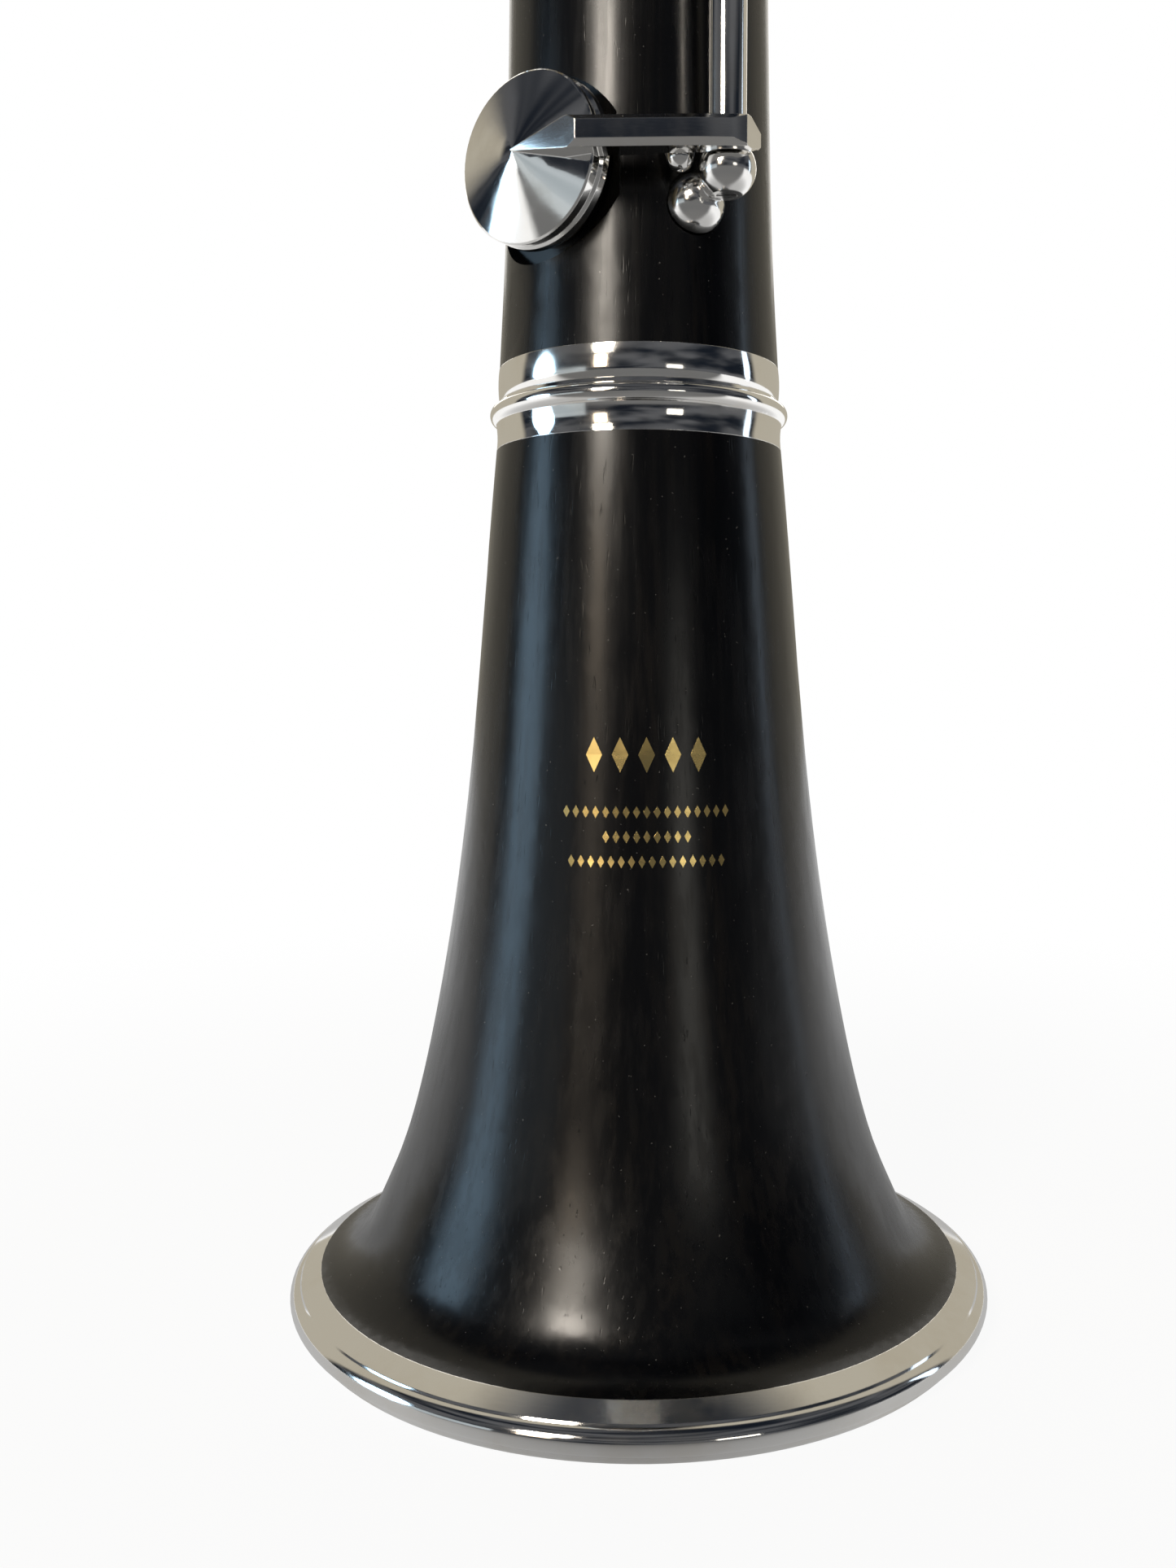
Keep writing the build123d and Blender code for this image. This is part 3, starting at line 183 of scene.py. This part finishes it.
def makeHandlingGroup():
    # faint smears from handling, and fine wiping lines, for hard polished surfaces
    group, inside, outside = newGroup(
        "handling",
        [("Place", "NodeSocketVector", None), ("Smears", "NodeSocketFloat", handling["smears"]),
         ("Lines", "NodeSocketFloat", handling["lines"])],
        [("Smear", "NodeSocketFloat"), ("Line", "NodeSocketFloat"), ("Speck", "NodeSocketFloat")])
    place = inside.outputs["Place"]
    smear = noise(group, place, inside.outputs["Smears"], detail=5.0, roughness=0.6)
    smear = remap(group, smear, *handling["smearEdge"])
    along = stretched(group, place, handling["lineStretch"])
    line = noise(group, along, inside.outputs["Lines"], detail=2.0, roughness=0.5)
    speck = noise(group, place, handling["specks"], detail=1.0, roughness=0.4)
    speck = remap(group, speck, *handling["speckEdge"])
    for label, value in (("Smear", smear), ("Line", line), ("Speck", speck)):
        group.links.new(value, outside.inputs[label])
    return group


grainGroup = makeGrainGroup()
handlingGroup = makeHandlingGroup()
print("shared effects made")


# finishes

grenadilla = {
    "dark": (0.0009, 0.0011, 0.0018, 1), "streak": (0.0058, 0.0044, 0.0034, 1),
    "pore": (0.0003, 0.0003, 0.0003, 1), "dust": (0.16, 0.155, 0.15, 1), "dustShare": 0.55,
    "smears": 45.0, "lines": 2500.0, "bands": 260.0, "bandStretch": (1.0, 1.0, 0.05), "bandEdge": (0.3, 0.75),
    "refraction": 1.44, "wear": (0.2, 1.5), "roughness": (0.225, 0.285), "bump": 0.16, "bumpDepth": 0.00004,
}


def marksOn(tree, place, look):
    inputs = {"Place": place, "Smears": look["smears"], "Lines": look["lines"]}
    return useGroup(tree, handlingGroup, inputs).outputs


def makeGrenadilla():
    look = grenadilla
    material, tree, shader, place = newMaterial("grenadillaWood", IOR=look["refraction"])
    fibres = useGroup(tree, grainGroup, {"Place": place}).outputs
    marks = marksOn(tree, place, look)
    bands = noise(tree, stretched(tree, place, look["bandStretch"]), look["bands"])
    streak = maths(tree, "MULTIPLY", fibres["Streak"], remap(tree, bands, *look["bandEdge"]))
    colour = mixColour(tree, streak, look["dark"], look["streak"])
    colour = mixColour(tree, fibres["Pore"], colour, look["pore"])
    dust = maths(tree, "MULTIPLY", marks["Speck"], look["dustShare"])
    colour = mixColour(tree, dust, colour, look["dust"])
    tree.links.new(colour, shader.inputs["Base Color"])
    wear = maths(tree, "ADD", marks["Smear"], fibres["Streak"])
    tree.links.new(remap(tree, wear, *look["wear"], *look["roughness"]), shader.inputs["Roughness"])
    bump(tree, shader, look, fibres["Height"])
    return material


metal = {
    "smearColour": 0.6, "smearWear": 0.75, "lineWear": 0.25, "wear": (0.0, 1.3),
    "bump": 0.02, "bumpDepth": 0.00002,
}
silver = {
    "bright": (0.93, 0.92, 0.90, 1), "tarnish": (0.84, 0.80, 0.73, 1),
    "roughness": (0.055, 0.16), "softEdge": 0.00013,
}
castSilver = {
    "bright": (0.90, 0.89, 0.87, 1), "tarnish": (0.80, 0.76, 0.69, 1),
    "roughness": (0.13, 0.26), "softEdge": 0.00018,
}
steel = {
    "bright": (0.62, 0.61, 0.60, 1), "tarnish": (0.46, 0.44, 0.42, 1),
    "roughness": (0.16, 0.30), "softEdge": 0.00006,
}
bluedSteel = {
    "bright": (0.10, 0.13, 0.24, 1), "tarnish": (0.13, 0.10, 0.14, 1),
    "roughness": (0.18, 0.34), "softEdge": 0.00003,
}
goldLeaf = {
    "bright": (0.86, 0.66, 0.27, 1), "tarnish": (0.55, 0.38, 0.13, 1),
    "roughness": (0.22, 0.45), "softEdge": 0.00002,
}


def makeMetal(name, look):
    material, tree, shader, place = newMaterial(name, Metallic=1.0)
    marks = useGroup(tree, handlingGroup, {"Place": place}).outputs
    dulled = maths(tree, "MULTIPLY", marks["Smear"], metal["smearColour"])
    tree.links.new(mixColour(tree, dulled, look["bright"], look["tarnish"]), shader.inputs["Base Color"])
    wear = maths(tree, "ADD", maths(tree, "MULTIPLY", marks["Smear"], metal["smearWear"]), marks["Speck"])
    wear = maths(tree, "ADD", wear, maths(tree, "MULTIPLY", marks["Line"], metal["lineWear"]))
    tree.links.new(remap(tree, wear, *metal["wear"], *look["roughness"]), shader.inputs["Roughness"])
    edge = addNode(tree, "ShaderNodeBevel", {"Radius": look["softEdge"]}, samples=4)
    bump(tree, shader, metal, marks["Line"], edge.outputs["Normal"])
    return material


ebonite = {
    "dark": (0.009, 0.009, 0.010, 1), "worn": (0.020, 0.019, 0.017, 1), "refraction": 1.55,
    "smears": 70.0, "lines": 4000.0, "wear": (0.0, 1.2), "roughness": (0.10, 0.26),
    "bump": 0.04, "bumpDepth": 0.00002,
}


def makeEbonite():
    look = ebonite
    material, tree, shader, place = newMaterial("ebonite", IOR=look["refraction"])
    marks = marksOn(tree, place, look)
    tree.links.new(mixColour(tree, marks["Smear"], look["dark"], look["worn"]), shader.inputs["Base Color"])
    wear = maths(tree, "ADD", marks["Smear"], marks["Speck"])
    tree.links.new(remap(tree, wear, *look["wear"], *look["roughness"]), shader.inputs["Roughness"])
    bump(tree, shader, look, marks["Line"])
    return material


cane = {
    "pale": (0.72, 0.55, 0.27, 1), "vein": (0.52, 0.36, 0.15, 1), "freckle": (0.30, 0.18, 0.08, 1),
    "roughness": 0.55, "refraction": 1.45, "fibres": 2600.0, "pores": 1500.0,
    "bump": 0.35, "bumpDepth": 0.00005,
}


def makeCane():
    look = cane
    fixed = {"Roughness": look["roughness"], "IOR": look["refraction"]}
    material, tree, shader, place = newMaterial("reedCane", **fixed)
    inputs = {"Place": place, "Fibres": look["fibres"], "Pores": look["pores"]}
    fibres = useGroup(tree, grainGroup, inputs).outputs
    colour = mixColour(tree, fibres["Streak"], look["pale"], look["vein"])
    colour = mixColour(tree, fibres["Pore"], colour, look["freckle"])
    tree.links.new(colour, shader.inputs["Base Color"])
    bump(tree, shader, look, fibres["Height"])
    return material


cork = {
    "pale": (0.50, 0.33, 0.18, 1), "dark": (0.20, 0.11, 0.06, 1), "roughness": 0.78,
    "cells": 1500.0, "flecks": 700.0, "fleckEdge": (0.5, 0.72), "bump": 0.5, "bumpDepth": 0.0001,
}


def makeCork():
    look = cork
    material, tree, shader, place = newMaterial("tenonCork", Roughness=look["roughness"])
    cells = addNode(tree, "ShaderNodeTexVoronoi", {"Vector": place, "Scale": look["cells"]})
    flecks = noise(tree, place, look["flecks"], detail=4.0, roughness=0.65)
    flecks = remap(tree, flecks, *look["fleckEdge"])
    tree.links.new(mixColour(tree, flecks, look["pale"], look["dark"]), shader.inputs["Base Color"])
    bump(tree, shader, look, cells.outputs["Distance"])
    return material


padSkin = {
    "pale": (0.80, 0.68, 0.47, 1), "stain": (0.62, 0.46, 0.27, 1), "roughness": 0.5, "sheen": 0.15,
    "stains": 350.0, "stainEdge": (0.4, 0.75), "wrinkles": 2400.0, "bump": 0.15, "bumpDepth": 0.00006,
}


def makePadSkin():
    look = padSkin
    fixed = {"Roughness": look["roughness"], "Sheen_Weight": look["sheen"]}
    material, tree, shader, place = newMaterial("padSkin", **fixed)
    stain = noise(tree, place, look["stains"], detail=4.0, roughness=0.6)
    stain = remap(tree, stain, *look["stainEdge"])
    tree.links.new(mixColour(tree, stain, look["pale"], look["stain"]), shader.inputs["Base Color"])
    bump(tree, shader, look, noise(tree, place, look["wrinkles"], detail=3.0, roughness=0.6))
    return material


finishes = {
    "grenadilla": makeGrenadilla(),
    "silver_plate": makeMetal("silverPlate", silver),
    "bright_steel": makeMetal("brightSteel", steel),
    "blued_steel": makeMetal("bluedSteel", bluedSteel),
    "ebonite": makeEbonite(),
    "cane": makeCane(),
    "cork": makeCork(),
    "pad_skin": makePadSkin(),
}
goldMaterial = makeMetal("goldLeaf", goldLeaf)
castMaterial = makeMetal("castSilver", castSilver)
castPieces = ("lower_joint_posts", "upper_joint_posts", "thumb_rest")
print("finishes made:", len(finishes) + 2)


# the parts themselves: each CAD mesh is joined up, shaded smooth and dressed

dressing = {"joinWithin": 0.000002, "creaseAngle": math.radians(24)}


def dress(name):
    source = nodes[name]
    mesh = source.data.copy()
    work = bmesh.new()
    work.from_mesh(mesh)
    bmesh.ops.remove_doubles(work, verts=work.verts, dist=dressing["joinWithin"])
    bmesh.ops.dissolve_degenerate(work, edges=work.edges, dist=dressing["joinWithin"])
    for face in work.faces:
        face.smooth = True
    for edge in work.edges:
        edge.smooth = len(edge.link_faces) == 2 and edge.calc_face_angle(0.0) < dressing["creaseAngle"]
    work.to_mesh(mesh)
    work.free()
    if "custom_normal" in mesh.attributes:
        mesh.attributes.remove(mesh.attributes["custom_normal"])
    mesh.materials.clear()
    mesh.materials.append(castMaterial if name in castPieces else finishes[slotOf[name]])
    piece = bpy.data.objects.new(name + ".dressed", mesh)
    bpy.context.scene.collection.objects.link(piece)
    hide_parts(name)
    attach(piece, source["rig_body"])
    return piece


dressed = {name: dress(name) for name in sorted(nodes)}
print("parts dressed:", len(dressed))


# a plain gold ornament on the front of the bell

ornament = {
    "middle": 0.060, "turn": math.radians(2.4), "depth": 0.00003, "reach": 0.1,
    "lozenges": {"Count": 5, "Step": 0.0027, "Width": 0.0017, "Height": 0.0036, "Up": 0.0036},
    "bead": {"Step": 0.00105, "Width": 0.00072, "Height": 0.00125},
    "rules": ((-0.0022, 17), (-0.0047, 9), (-0.0072, 16)),
}


def rowTree(name):
    # a row of flat tiles, each with so many corners, centred on the origin
    tree, inside, outside = newGroup(
        name,
        [("Count", "NodeSocketInt", 5), ("Corners", "NodeSocketInt", 4), ("Step", "NodeSocketFloat", 0.002),
         ("Width", "NodeSocketFloat", 0.001), ("Height", "NodeSocketFloat", 0.001),
         ("Up", "NodeSocketFloat", 0.0), ("Material", "NodeSocketMaterial", None)],
        [("Geometry", "NodeSocketGeometry")], "GeometryNodeTree")
    given = inside.outputs
    length = maths(tree, "MULTIPLY", maths(tree, "SUBTRACT", given["Count"], 1.0), given["Step"])
    half = maths(tree, "MULTIPLY", length, -0.5)
    start = addNode(tree, "ShaderNodeCombineXYZ", {"X": half, "Y": given["Up"]}).outputs[0]
    step = addNode(tree, "ShaderNodeCombineXYZ", {"X": given["Step"]}).outputs[0]
    lineInputs = {"Count": given["Count"], "Start Location": start, "Offset": step}
    line = addNode(tree, "GeometryNodeMeshLine", lineInputs)
    tileInputs = {"Vertices": given["Corners"], "Radius": 0.5}
    tile = addNode(tree, "GeometryNodeMeshCircle", tileInputs, fill_type="NGON")
    sizeInputs = {"X": given["Width"], "Y": given["Height"], "Z": 1.0}
    size = addNode(tree, "ShaderNodeCombineXYZ", sizeInputs).outputs[0]
    shaped = addNode(tree, "GeometryNodeTransform", {"Geometry": tile.outputs["Mesh"], "Scale": size})
    spreadInputs = {"Points": line.outputs["Mesh"], "Instance": shaped.outputs["Geometry"]}
    spread = addNode(tree, "GeometryNodeInstanceOnPoints", spreadInputs)
    real = addNode(tree, "GeometryNodeRealizeInstances", {"Geometry": spread.outputs["Instances"]})
    paintInputs = {"Geometry": real.outputs["Geometry"], "Material": given["Material"]}
    painted = addNode(tree, "GeometryNodeSetMaterial", paintInputs)
    tree.links.new(painted.outputs["Geometry"], outside.inputs["Geometry"])
    return tree


def runTree(name, tree, values):
    holder = bpy.data.objects.new(name, bpy.data.meshes.new(name))
    bpy.context.scene.collection.objects.link(holder)
    modifier = holder.modifiers.new("row", "NODES")
    modifier.node_group = tree
    for item in tree.interface.items_tree:
        if item.in_out == "INPUT" and item.name in values:
            modifier[item.identifier] = values[item.name]
    seen = holder.evaluated_get(bpy.context.evaluated_depsgraph_get())
    mesh = bpy.data.meshes.new_from_object(seen)
    holder.modifiers.clear()
    bpy.data.objects.remove(holder)
    return mesh


def makeOrnament():
    tree = rowTree("ornamentRow")
    rows = [ornament["lozenges"]]
    rows += [{**ornament["bead"], "Up": up, "Count": count} for up, count in ornament["rules"]]
    flat = bmesh.new()
    for values in rows:
        flat.from_mesh(runTree("ornamentRow", tree, {**values, "Corners": 4, "Material": goldMaterial}))
    bell = dressed["bell"].data
    wall = BVHTree.FromPolygons([v.co for v in bell.vertices], [list(f.vertices) for f in bell.polygons])
    raised = bmesh.ops.extrude_face_region(flat, geom=list(flat.faces))
    topVerts = {v for v in raised["geom"] if isinstance(v, bmesh.types.BMVert)}
    for vertex in flat.verts:
        height = ornament["middle"] + vertex.co.y
        front = wall.ray_cast(Vector((0, -ornament["reach"], height)), Vector((0, 1, 0)))[0]
        radius = abs(front.y) + (ornament["depth"] if vertex in topVerts else -ornament["depth"])
        turn = ornament["turn"] + vertex.co.x / abs(front.y)
        vertex.co = Vector((radius * math.sin(turn), -radius * math.cos(turn), height))
    bmesh.ops.recalc_face_normals(flat, faces=flat.faces)
    mesh = bpy.data.meshes.new("bellOrnament")
    flat.to_mesh(mesh)
    flat.free()
    mesh.materials.append(goldMaterial)
    piece = bpy.data.objects.new("bellOrnament", mesh)
    bpy.context.scene.collection.objects.link(piece)
    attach(piece, nodes["bell"]["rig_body"])
    return piece


makeOrnament()
print("ornament set on the bell")


# floor, room light and camera

studio = {
    "floorHalf": 3.0, "floorColour": (0.86, 0.86, 0.85, 1), "shadowHold": 0.93, "shadowReach": (0.06, 0.26),
    # painted shade seen in metal: how far out and how deeply the floor is dimmed around the bell
    "paintedShadeReach": (0.08, 0.34), "paintedShadeDepth": 0.52,
    "shadeSpread": 0.4, "shadeEdge": (-0.03, 0.06), "shadeDepth": 0.84,
    "backdrop": (0.455, 0.42, 0.345, 1), "backdropLean": 0.1, "backdropEdge": (0.22, 0.34),
    "roomDark": (0.008, 0.011, 0.017, 1), "roomMid": (0.105, 0.108, 0.116, 1),
    "clutter": 2.6, "clutterStretch": (0.6, 0.6, 3.0), "clutterEdge": (0.36, 0.66),
}


def seenPlainly(tree):
    # one for rays that see the background straight, in metal or through glass
    path = addNode(tree, "ShaderNodeLightPath").outputs
    mirrored = maths(tree, "MAXIMUM", path["Is Glossy Ray"], path["Is Transmission Ray"])
    return maths(tree, "MAXIMUM", path["Is Camera Ray"], mirrored)


def makeFloor():
    # white to the camera and in metal; in metal a painted shade dims it close to the bell and in front
    half = studio["floorHalf"]
    mesh = bpy.data.meshes.new("floor")
    corners = [(-half, -half, 0), (half, -half, 0), (half, half, 0), (-half, half, 0)]
    mesh.from_pydata(corners, [], [(0, 1, 2, 3)])
    floor = bpy.data.objects.new("floor", mesh)
    bpy.context.scene.collection.objects.link(floor)
    material = bpy.data.materials.new("paleFloor")
    material.use_nodes = True
    tree = material.node_tree
    tree.nodes.clear()
    place = addNode(tree, "ShaderNodeTexCoord").outputs["Object"]
    far = addNode(tree, "ShaderNodeVectorMath", {0: place}, operation="LENGTH").outputs["Value"]
    fade = remap(tree, far, *studio["shadowReach"], studio["shadowHold"], 1.0)
    lit = addNode(tree, "ShaderNodeBsdfDiffuse", {"Color": studio["floorColour"]}).outputs[0]
    ground = addNode(tree, "ShaderNodeSeparateXYZ", {"Vector": place}).outputs
    # painted shade: glossy rays see the floor dimmed in front and close to the bell, though nothing there
    # casts a shadow
    aside = maths(tree, "MULTIPLY", maths(tree, "ABSOLUTE", ground["X"]), studio["shadeSpread"])
    ahead = maths(tree, "MULTIPLY", maths(tree, "ADD", ground["Y"], aside), -1.0)
    front = remap(tree, ahead, *studio["shadeEdge"], 0.0, studio["shadeDepth"])
    paintedShadeNear = remap(tree, far, *studio["paintedShadeReach"], studio["paintedShadeDepth"], 0.0)
    paintedShade = maths(tree, "MAXIMUM", front, paintedShadeNear)
    path = addNode(tree, "ShaderNodeLightPath").outputs
    strength = maths(tree, "SUBTRACT", 1.0, maths(tree, "MULTIPLY", paintedShade, path["Is Glossy Ray"]))
    glow = addNode(tree, "ShaderNodeEmission", {"Color": (1, 1, 1, 1), "Strength": strength}).outputs[0]
    soft = addNode(tree, "ShaderNodeMixShader", {"Fac": fade})
    tree.links.new(lit, soft.inputs[1])
    tree.links.new(glow, soft.inputs[2])
    pick = addNode(tree, "ShaderNodeMixShader", {"Fac": seenPlainly(tree)})
    tree.links.new(lit, pick.inputs[1])
    tree.links.new(soft.outputs[0], pick.inputs[2])
    output = addNode(tree, "ShaderNodeOutputMaterial")
    tree.links.new(pick.outputs[0], output.inputs["Surface"])
    mesh.materials.append(material)


def makeRoom():
    # white where it is seen straight; in reflections a pale backdrop, and a dim room in front of the object
    world = bpy.data.worlds.new("room")
    bpy.context.scene.world = world
    world.use_nodes = True
    tree = world.node_tree
    tree.nodes.clear()
    way = addNode(tree, "ShaderNodeTexCoord").outputs["Generated"]
    parts = addNode(tree, "ShaderNodeSeparateXYZ", {"Vector": way})
    raised = maths(tree, "MULTIPLY", parts.outputs["Z"], studio["backdropLean"])
    behind = remap(tree, maths(tree, "ADD", parts.outputs["Y"], raised), *studio["backdropEdge"])
    along = stretched(tree, way, studio["clutterStretch"])
    clutter = noise(tree, along, studio["clutter"], detail=2.0, roughness=0.5)
    clutter = remap(tree, clutter, *studio["clutterEdge"])
    front = mixColour(tree, clutter, studio["roomDark"], studio["roomMid"])
    colour = mixColour(tree, behind, front, studio["backdrop"])
    room = addNode(tree, "ShaderNodeBackground", {"Color": colour, "Strength": 1.0}).outputs[0]
    white = addNode(tree, "ShaderNodeBackground", {"Color": (1, 1, 1, 1), "Strength": 1.0}).outputs[0]
    seen = addNode(tree, "ShaderNodeLightPath").outputs["Is Camera Ray"]
    pick = addNode(tree, "ShaderNodeMixShader", {"Fac": seen})
    tree.links.new(room, pick.inputs[1])
    tree.links.new(white, pick.inputs[2])
    output = addNode(tree, "ShaderNodeOutputWorld")
    tree.links.new(pick.outputs[0], output.inputs["Surface"])


windowDistance = 1.3
windowAim = Vector((0, 0, 0.08))
windows = {
    "warmWindow": {"turn": -29, "rise": 28.5, "size": (0.30, 0.32), "glow": 27, "colour": (1.0, 0.92, 0.81)},
    "warmWall": {"turn": -30, "rise": 13, "size": (0.22, 0.24), "glow": 4.2, "colour": (1.0, 0.82, 0.62)},
    "lowWindow": {"turn": 28, "rise": 6, "size": (0.28, 0.14), "glow": 2.6, "colour": (1.0, 0.96, 0.86)},
    "coolLeft": {"turn": -81, "rise": 8, "size": (0.52, 0.64), "glow": 3.0, "colour": (0.52, 0.77, 1.0)},
    "lowLeft": {"turn": -57, "rise": 3, "size": (0.70, 0.28), "glow": 0.45, "colour": (0.85, 0.95, 1.0)},
    "coolRight": {"turn": 96, "rise": 12, "size": (0.16, 0.70), "glow": 1.5, "colour": (0.70, 0.84, 1.0)},
    "backLight": {"turn": 180, "rise": 35, "size": (1.2, 0.8), "glow": 1.2, "colour": (1.0, 0.98, 0.95)},
}
ovalWindows = ("coolLeft", "coolRight")


def makeWindow(name, look):
    turn, rise = math.radians(look["turn"]), math.radians(look["rise"])
    way = Vector((math.sin(turn) * math.cos(rise), -math.cos(turn) * math.cos(rise), math.sin(rise)))
    lamp = bpy.data.lights.new(name, "AREA")
    lamp.shape = "ELLIPSE" if name in ovalWindows else "RECTANGLE"
    lamp.size, lamp.size_y = look["size"]
    lamp.color = look["colour"]
    lamp.energy = look["glow"] * math.pi * look["size"][0] * look["size"][1]
    window = bpy.data.objects.new(name, lamp)
    window.location = windowAim + way * windowDistance
    window.rotation_euler = way.to_track_quat("Z", "Y").to_euler()
    window.visible_camera = False
    bpy.context.scene.collection.objects.link(window)


view = {
    "stand": (0.0, -0.1611, 0.0715), "dip": 4.37,
    "lens": 32.22, "film": 36.0, "shift": -0.0324, "near": 0.01,
}


def makeCamera():
    data = bpy.data.cameras.new("camera")
    data.sensor_width = view["film"]
    data.lens = view["lens"]
    data.shift_x = view["shift"]
    data.clip_start = view["near"]
    camera = bpy.data.objects.new("camera", data)
    camera.location = view["stand"]
    camera.rotation_euler = (math.radians(90 - view["dip"]), 0, 0)
    bpy.context.scene.collection.objects.link(camera)
    bpy.context.scene.camera = camera


makeFloor()
makeRoom()
for name, look in windows.items():
    makeWindow(name, look)
makeCamera()
bpy.context.scene.view_settings.view_transform = "Standard"
print("studio set up")
